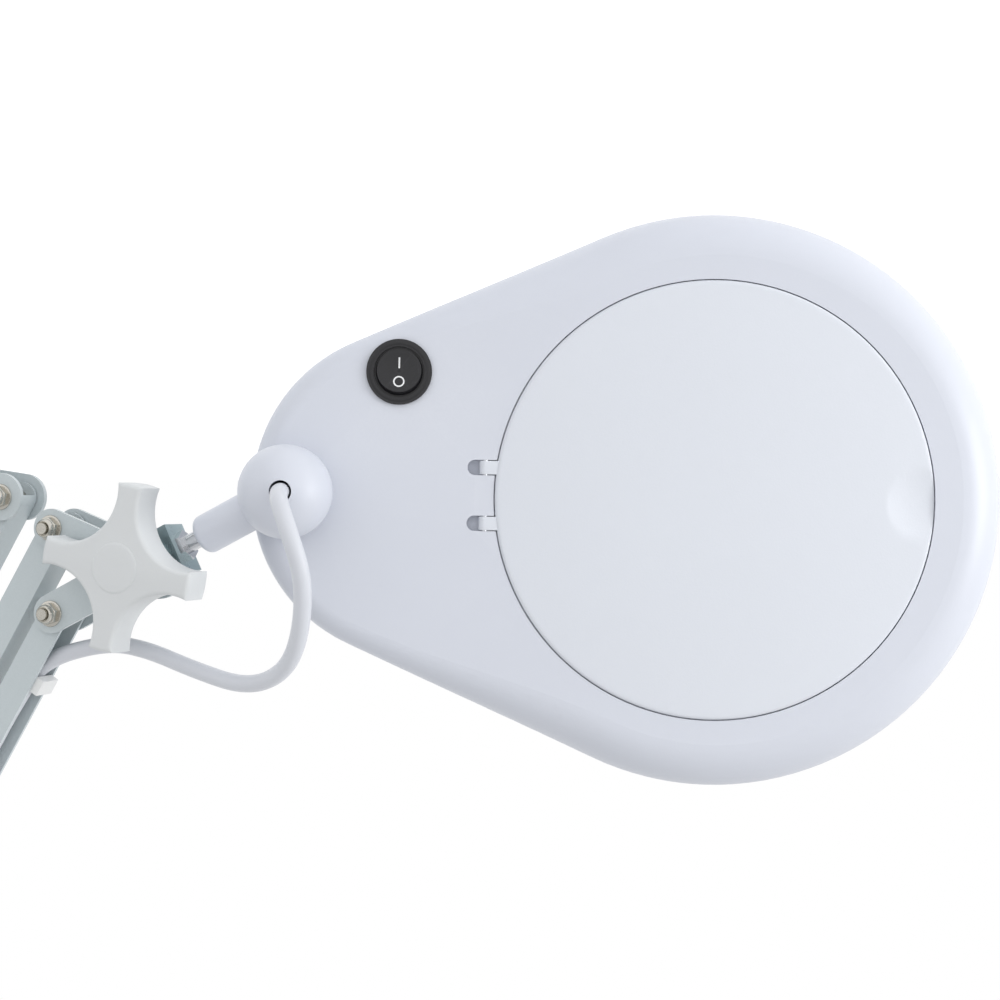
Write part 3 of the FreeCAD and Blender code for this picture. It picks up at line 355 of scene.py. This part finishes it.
def rings_along(line, radii):
    """Rings of points around a line, turned as little as possible from one to the next."""
    rings = []
    normal = (line[1] - line[0]).normalized().orthogonal().normalized()
    for i, point in enumerate(line):
        ahead = (line[min(i + 1, len(line) - 1)] - line[max(i - 1, 0)]).normalized()
        normal = (normal - ahead * normal.dot(ahead)).normalized()
        side = ahead.cross(normal)
        rings.append([point + (normal * c + side * s) * radii[i] for c, s in directions(FLEX_SIDES)])
    return rings


def flex_piece(name, line, body, nodes):
    """A stretch of the mains flex, as a tube along its line."""
    piece = add_piece(name, *skin(rings_along(line, [FLEX / 2] * len(line))), body, "flex_sheath", nodes)
    return piece


def shared_flex(name, line, nodes):
    """A stretch between two bodies, attached to neither: its place is baked into its points."""
    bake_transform(flex_piece(name, line, None, nodes))


def cut_at(line, place):
    """The line in two, cut at its point nearest to a place."""
    i = min(range(len(line)), key=lambda k: (line[k] - place).length)
    return line[:i + 1], line[i:]


# The flex hangs in one loop from the ball's hole to the upper bar's channel.
head_line = smooth_line(
    [BALL + HEAD_Z * 0.012, BALL + HEAD_Z * 0.030]
    + [TILT + spot(*p) for p in ((-73, -36, -14), (-77.5, -33, 3), (-72, -25, 23), (-61, -16, 35.5),
                                 (-43, -8, 41), (-20, -3, 36), (0, -1, 29.5), (17, 0, 27.5))]
    + [beside(HEAD_HIGH, run, out) for run, out in ((19, 2), (36, 0.2), (50, 0))])
near_ball, near_bar = cut_at(head_line, TILT + spot(-22, -3, 36))
shared_flex("head_flex_outer", near_ball, ["head_flex"])
shared_flex("head_flex_inner", near_bar, ["head_flex"])

# At the elbow it leaves one channel, goes round outside the plates and enters the other.
elbow_line = smooth_line(
    [beside(ELBOW_HIGH, run, out) for run, out in (
        (-50, 0), (-36, 0.2), (-19, 2), (-6, 11), (10, 15), (26, 8), (36, -10), (38, -33), (28, -54),
        (8, -68), (-10, -71), (-24, -65))]
    + [beside(ELBOW_RIGHT, run, out) for run, out in ((-19, -2), (-36, -0.2), (-50, 0))])
upper_half, lower_half = cut_at(elbow_line, beside(ELBOW_HIGH, 37, -20))
shared_flex("elbow_flex_upper", upper_half, ["elbow_flex"])
shared_flex("elbow_flex_lower", lower_half, ["elbow_flex"])

# The rest is coiled flat on the table, in columns of (first turn, radius, height above the table).
COIL = spot(100, -25, 0)
COIL_TURNS = 6.5
POINTS_A_TURN = 20
COLUMNS = ((0, 38.8, 3.1), (1.0, 33.0, 4.7), (2.0, 27.2, 3.1), (2.85, 27.2, 9.1), (3.7, 33.0, 10.7),
           (4.7, 38.8, 9.1), (5.55, 38.8, 15.1))
STEP = 0.06


def coil_place(turn):
    """A point of the coil: its radius and height pass from one column to the next in a short step."""
    radius, height = COLUMNS[0][1:]
    for start, next_radius, next_height in COLUMNS[1:]:
        share = min(1, max(0, (turn - start + STEP) / (2 * STEP)))
        share = share * share * (3 - 2 * share)
        radius += (next_radius - radius) * share
        height += (next_height - height) * share
    angle = math.pi / 2 - 2 * math.pi * turn
    return COIL + spot(radius * math.cos(angle), radius * math.sin(angle), height)


coil_points = [coil_place(i / POINTS_A_TURN) for i in range(int(COIL_TURNS * POINTS_A_TURN) + 1)]
lead_line = smooth_line(
    [beside(BASE_RIGHT, run, out) for run, out in ((50, 0), (36, -0.2), (19, -2), (9, -11))]
    + [spot(*p) for p in ((5, 0, 47.8), (15.5, 0, 46), (25, 0.3, 38.5), (31.5, 1, 27), (37.5, 1.8, 17),
                          (48, 4, 10.5), (64, 8, 6.5), (82, 12.5, 4.2))]
    + coil_points
    + [spot(*p) for p in ((84, -64.5, 13.2), (71, -67, 10), (62, -73.3, 7.5), (57.4, -83.3, 5.5),
                          (58.4, -94.3, 4.3), (64.7, -103.3, 4.3), (74.7, -107.9, 5.5), (89, -108, 7))],
    resolution=6)
from_arm, rest = cut_at(lead_line, spot(8, 0, 47))
from_base, coiled = cut_at(rest, spot(62, 8, 7))
shared_flex("lead_at_arm", from_arm, ["mains_lead"])
shared_flex("lead_at_base", from_base, ["mains_lead"])
flex_piece("lead_coil_turns", coiled, "clamp", ["mains_lead", "lead_coil"])

RELIEF_POINTS, RELIEF_THIN, RELIEF_SWELL = 24, 3.3, 2.2
relief_line = lead_line[-RELIEF_POINTS:]
relief_radii = [(RELIEF_THIN + RELIEF_SWELL * i / RELIEF_POINTS) * MM for i in range(RELIEF_POINTS)]
add_piece("plug_strain_relief", *skin(rings_along(relief_line, relief_radii)), "clamp", "plug_plastic")

# ---- Star knob ----------------------------------------------------------------------------------
LOBE, VALLEY, VALLEY_RADIUS, LOBE_TURN = 29.5, 14.5, 19.9, math.radians(78)
KNOB_BACK, KNOB_FRONT, KNOB_BACK_ROUND, KNOB_FRONT_ROUND = 10.2, 23.0, 0.8, 1.5


def star_outline():
    """The knob's outline: a disc's edge at four lobes, with a round valley between each two."""
    reach = VALLEY + VALLEY_RADIUS
    tip_half = math.pi / 4 - math.acos((reach ** 2 + LOBE ** 2 - VALLEY_RADIUS ** 2) / (2 * reach * LOBE))
    opening = math.acos((reach ** 2 + VALLEY_RADIUS ** 2 - LOBE ** 2) / (2 * reach * VALLEY_RADIUS))
    outline = []
    for lobe in range(4):
        middle = LOBE_TURN + math.pi / 2 * lobe
        outline += [(LOBE * math.cos(middle + t * tip_half), LOBE * math.sin(middle + t * tip_half))
                    for t in (-1, -0.5, 0, 0.5, 1)]
        side = middle + math.pi / 4
        outline += [(reach * math.cos(side) - VALLEY_RADIUS * math.cos(side + t * opening),
                     reach * math.sin(side) - VALLEY_RADIUS * math.sin(side + t * opening))
                    for t in (1 - k / 12 for k in range(1, 24))]
    return outline


rounded_solid("star_knob_body", star_outline(), KNOB_BACK, KNOB_FRONT, KNOB_BACK_ROUND,
              KNOB_FRONT_ROUND, facing_front(TILT), "star_knob", "knob_plastic", ["star_knob"])
CAP_PROFILE = ((8.9, -0.2), (8.8, 0.08), (8.45, 0.28), (8.0, 0.36), (5.0, 0.42), (0.5, 0.45))
turned("star_knob_cap", [(radius, KNOB_FRONT + lift) for radius, lift in CAP_PROFILE], TILT, FRONT,
       "star_knob", "knob_plastic", ["knob_cap"])

# ---- Lock nuts ----------------------------------------------------------------------------------
NUT_SEAT, NUT_TOP, NUT_CORNER, NUT_TURN, NUT_SIDES = 8.4, 13.4, 4.04, 0.3, 48
HEX_LOW, HEX_HIGH, HEX_LOW_ROUND, HEX_HIGH_ROUND = NUT_SEAT + 0.5, NUT_TOP - 1.9, 0.15, 0.45
COLLAR_PROFILE = ((3.35, -2.3), (3.35, -0.9), (3.1, -0.35), (2.6, 0), (2.15, -0.25), (2.1, -1.2))
FLANGE_PROFILE = ((4.6, 0), (4.75, 0.25), (4.6, 0.6), (3.9, 0.7))
hexagon = [(NUT_CORNER * math.cos(math.pi / 3 * k + NUT_TURN),
            NUT_CORNER * math.sin(math.pi / 3 * k + NUT_TURN)) for k in range(6)]
for where, pivots, body in (("bracket", (HEAD_LOW, HEAD_HIGH), "head_bracket"),
                            ("base", (BASE_LEFT, BASE_RIGHT), "base_bracket"),
                            ("elbow", (ELBOW_LOW, ELBOW_HIGH, ELBOW_LEFT, ELBOW_RIGHT), "elbow")):
    for i, pivot in enumerate(pivots):
        rounded_solid(f"{where}_nut_{i}", hexagon, HEX_LOW, HEX_HIGH, HEX_LOW_ROUND, HEX_HIGH_ROUND,
                      facing_front(pivot), body, "nickel_fasteners", [where + "_nuts"])
        for part, base, shape in (("collar", NUT_TOP, COLLAR_PROFILE), ("flange", NUT_SEAT, FLANGE_PROFILE)):
            turned(f"{where}_nut_{part}_{i}", [(radius, base + lift) for radius, lift in shape], pivot,
                   FRONT, body, "nickel_fasteners", sides=NUT_SIDES)

# ---- Lens cover ---------------------------------------------------------------------------------
COVER_X, COVER, COVER_LOW, CROWN, SAG = -1.4, 77.2, 20.3, 24.8, 2.2
SCOOP_X, SCOOP_Z, SCOOP_RADIUS, SCOOP_ABOVE = 73.7, 67.8, 46.8, COVER_LOW + 0.6
RIM_TOP, TIP, COVER_SIDES = 76.1, 0.5, 240


def crown_height(radius):
    """The height of the lid's crowned top."""
    return CROWN - SAG * (radius / COVER) ** 2


def with_scoop(x, y, z):
    """The height of the lid where the finger scoop is sunk into its top."""
    sunk = SCOOP_RADIUS ** 2 - (x - SCOOP_X) ** 2 - y ** 2
    return min(z, SCOOP_Z - math.sqrt(sunk)) if sunk > 0 and z > SCOOP_ABOVE else z


edge_height = crown_height(COVER)
lid_profile = [(TIP, COVER_LOW), (74, COVER_LOW), (76.6, COVER_LOW), (77.05, COVER_LOW + 0.15),
               (COVER, COVER_LOW + 0.5), (COVER, edge_height - 1.0), (77.12, edge_height - 0.62),
               (76.9, edge_height - 0.3), (76.55, edge_height - 0.08), (RIM_TOP, crown_height(RIM_TOP))]
close_rings = [RIM_TOP - 0.8 * k for k in range(1, 26)]
lid_profile += [(radius, crown_height(radius)) for radius in close_rings + [52, 46, 38, 28, 16, 6, TIP]]
lid_points = [[(COVER_X + radius * c, radius * s, height) for c, s in directions(COVER_SIDES)]
              for radius, height in lid_profile]
lid_rings = [[on_head(x, y, with_scoop(x, y, z)) for x, y, z in ring] for ring in lid_points]
add_piece("lens_cover_lid", *skin(lid_rings), "lens_cover", "cover_shell", ["lens_cover"])

HINGE_X, HINGE_Y, HINGE_Z, BARREL = -82.0, 9.8, 20.6, 2.1
ARM_WIDTH, ARM_REACH, ARM_UNDER, ARM_TOP, ARM_START, ARM_ROUND = 4.8, 9, 0.3, 1.7, 2.4, 0.3
arm_outline = [(HINGE_X + BARREL * math.cos(a), HINGE_Z + BARREL * math.sin(a))
               for a in (math.pi * 0.5 + math.pi * k / 14 for k in range(15))]
arm_outline += [(HINGE_X + ARM_REACH, HINGE_Z - ARM_UNDER), (HINGE_X + ARM_REACH, HINGE_Z + ARM_TOP),
                (HINGE_X + ARM_START, HINGE_Z + ARM_TOP)]
for side_name, side in (("left", 1), ("right", -1)):
    arm_side = Matrix.Translation(spot(0, side * HINGE_Y + ARM_WIDTH / 2, 0))
    arm_place = HEAD_FRAME @ arm_side @ Matrix.Rotation(math.pi / 2, 4, "X")
    rounded_solid("cover_hinge_arm_" + side_name, arm_outline, 0, ARM_WIDTH, ARM_ROUND, ARM_ROUND,
                  arm_place, "lens_cover", "cover_shell", ["lens_cover"])

# ---- Lens ---------------------------------------------------------------------------------------
LENS, BULGE, LENS_EDGE, LENS_STEPS, LENS_SIDES = 63.5, 5.5, 3.0, 24, 128
half_lens = [(LENS * k / LENS_STEPS, LENS_EDGE / 2 + BULGE * (1 - (k / LENS_STEPS) ** 2))
             for k in range(1, LENS_STEPS + 1)]
turned("lens_disc", [(radius, -height) for radius, height in half_lens] + half_lens[::-1], HEAD, HEAD_Z,
       "head", "lens_glass", ["lens"], sides=LENS_SIDES)

# ---- Switch -------------------------------------------------------------------------------------
SWITCH_X, SWITCH_Y, BEZEL_SIDES = -112.9, 42.8, 96
BEZEL_PROFILE = [(8.92, 20), (8.92, 22.7), (9.15, 23.2), (9.7, 23.42), (10.4, 23.4), (11.1, 23.1),
                 (11.5, 22.6), (11.55, 22.02), (10.2, 22.02)]
turned("switch_bezel", BEZEL_PROFILE, on_head(SWITCH_X, SWITCH_Y, 0), HEAD_Z, "head", "black_plastic",
       sides=BEZEL_SIDES)

DISH, DISH_LOW, ROCKER_LEAN = 40, 2.9, math.radians(-9)
MARK_SUNK, MARK_PROUD = -0.1, 0.04
RING_OUTER, RING_INNER, RING_Y = 2.0, 1.5, -4.0
BAR_OUTER, BAR_INNER, BAR_Y = (0.27, 1.9), (0.02, 1.7), 2.7
ROCKER_FRAME = (Matrix.Translation(SWITCH) @ HEAD_FRAME.to_3x3().to_4x4()
                @ Matrix.Rotation(ROCKER_LEAN, 4, "X"))


def mark(name, outer, inner):
    """A printed mark, a thin skin between two closed outlines on the rocker's dished face."""
    rings = [[ROCKER_FRAME @ spot(x, y, DISH_LOW + DISH - math.sqrt(DISH ** 2 - x * x - y * y) + lift)
              for x, y in outline]
             for outline, lift in ((outer, MARK_SUNK), (outer, MARK_PROUD), (inner, MARK_PROUD),
                                   (inner, MARK_SUNK))]
    add_piece(name, *skin(rings, closed_ends=False), "rocker", "black_plastic", material=MARKING)


def ring_mark(radius):
    """The outline of the round mark."""
    return [(radius * c, radius * s + RING_Y) for c, s in directions(40)]


def bar_mark(half_width, half_height):
    """The outline of the straight mark."""
    return [(half_width * x, half_height * y + BAR_Y) for x, y in ((-1, -1), (1, -1), (1, 1), (-1, 1))]


mark("off_mark", ring_mark(RING_OUTER), ring_mark(RING_INNER))
mark("on_mark", bar_mark(*BAR_OUTER), bar_mark(*BAR_INNER))

# ---- Stage and light ----------------------------------------------------------------------------
FLOOR_HALF, FLOOR_DROP, FLOOR_GLOW = 14.0, 0.002, 0.3
SKY_FROM, SKY_TO, SKY_BRIGHT, SKY_DIM = 0.0, 0.95, 1.0, 0.68
KEY_WIDTH, KEY_POWER = 0.4, 3.4

floor_z = cad_box[0][2] - FLOOR_DROP
floor_mesh = bpy.data.meshes.new("floor")
floor_mesh.from_pydata([(x * FLOOR_HALF, y * FLOOR_HALF, floor_z)
                        for x, y in ((-1, -1), (1, -1), (1, 1), (-1, 1))], [], [(0, 1, 2, 3)])
floor_finish = finish("floor", (0.975, 0.975, 0.98), 0.9, tint=0.01, cloud=2, relief=0.0001)
glow = floor_finish.node_tree.nodes["Principled BSDF"].inputs
glow["Emission Color"].default_value = (1, 1, 1, 1)
glow["Emission Strength"].default_value = FLOOR_GLOW
floor_mesh.materials.append(floor_finish)
floor = bpy.data.objects.new("floor", floor_mesh)
bpy.context.collection.objects.link(floor)

# The sky dims towards the camera's side, so that the head's top keeps its shading.
world = bpy.data.worlds.new("studio")
bpy.context.scene.world = world
world.use_nodes = True
sky = world.node_tree
direction = sky.nodes.new("ShaderNodeTexCoord")
facing = sky.nodes.new("ShaderNodeVectorMath")
facing.operation = "DOT_PRODUCT"
facing.inputs[1].default_value = (HEAD_Z * 0.8 - IMAGE_RIGHT * 0.6 + IMAGE_DOWN * 0.7).normalized()
fade = sky.nodes.new("ShaderNodeMapRange")
set_range(fade, SKY_FROM, SKY_TO, SKY_BRIGHT, SKY_DIM)
sky.links.new(direction.outputs["Generated"], facing.inputs[0])
sky.links.new(facing.outputs["Value"], fade.inputs["Value"])
sky.links.new(fade.outputs["Result"], sky.nodes["Background"].inputs["Color"])
sky.nodes["Background"].inputs["Strength"].default_value = 1.0
bpy.context.scene.view_settings.view_transform = "Standard"

key_place = HEAD + IMAGE_RIGHT * 0.8 - IMAGE_DOWN * 0.05 + HEAD_Z * 0.4
key_light = bpy.data.lights.new("key", "AREA")
key_light.shape, key_light.size, key_light.energy = "DISK", KEY_WIDTH, KEY_POWER
key = bpy.data.objects.new("key", key_light)
key.matrix_world = (Matrix.Translation(key_place)
                    @ (key_place - HEAD).to_track_quat("Z", "Y").to_matrix().to_4x4())
bpy.context.collection.objects.link(key)
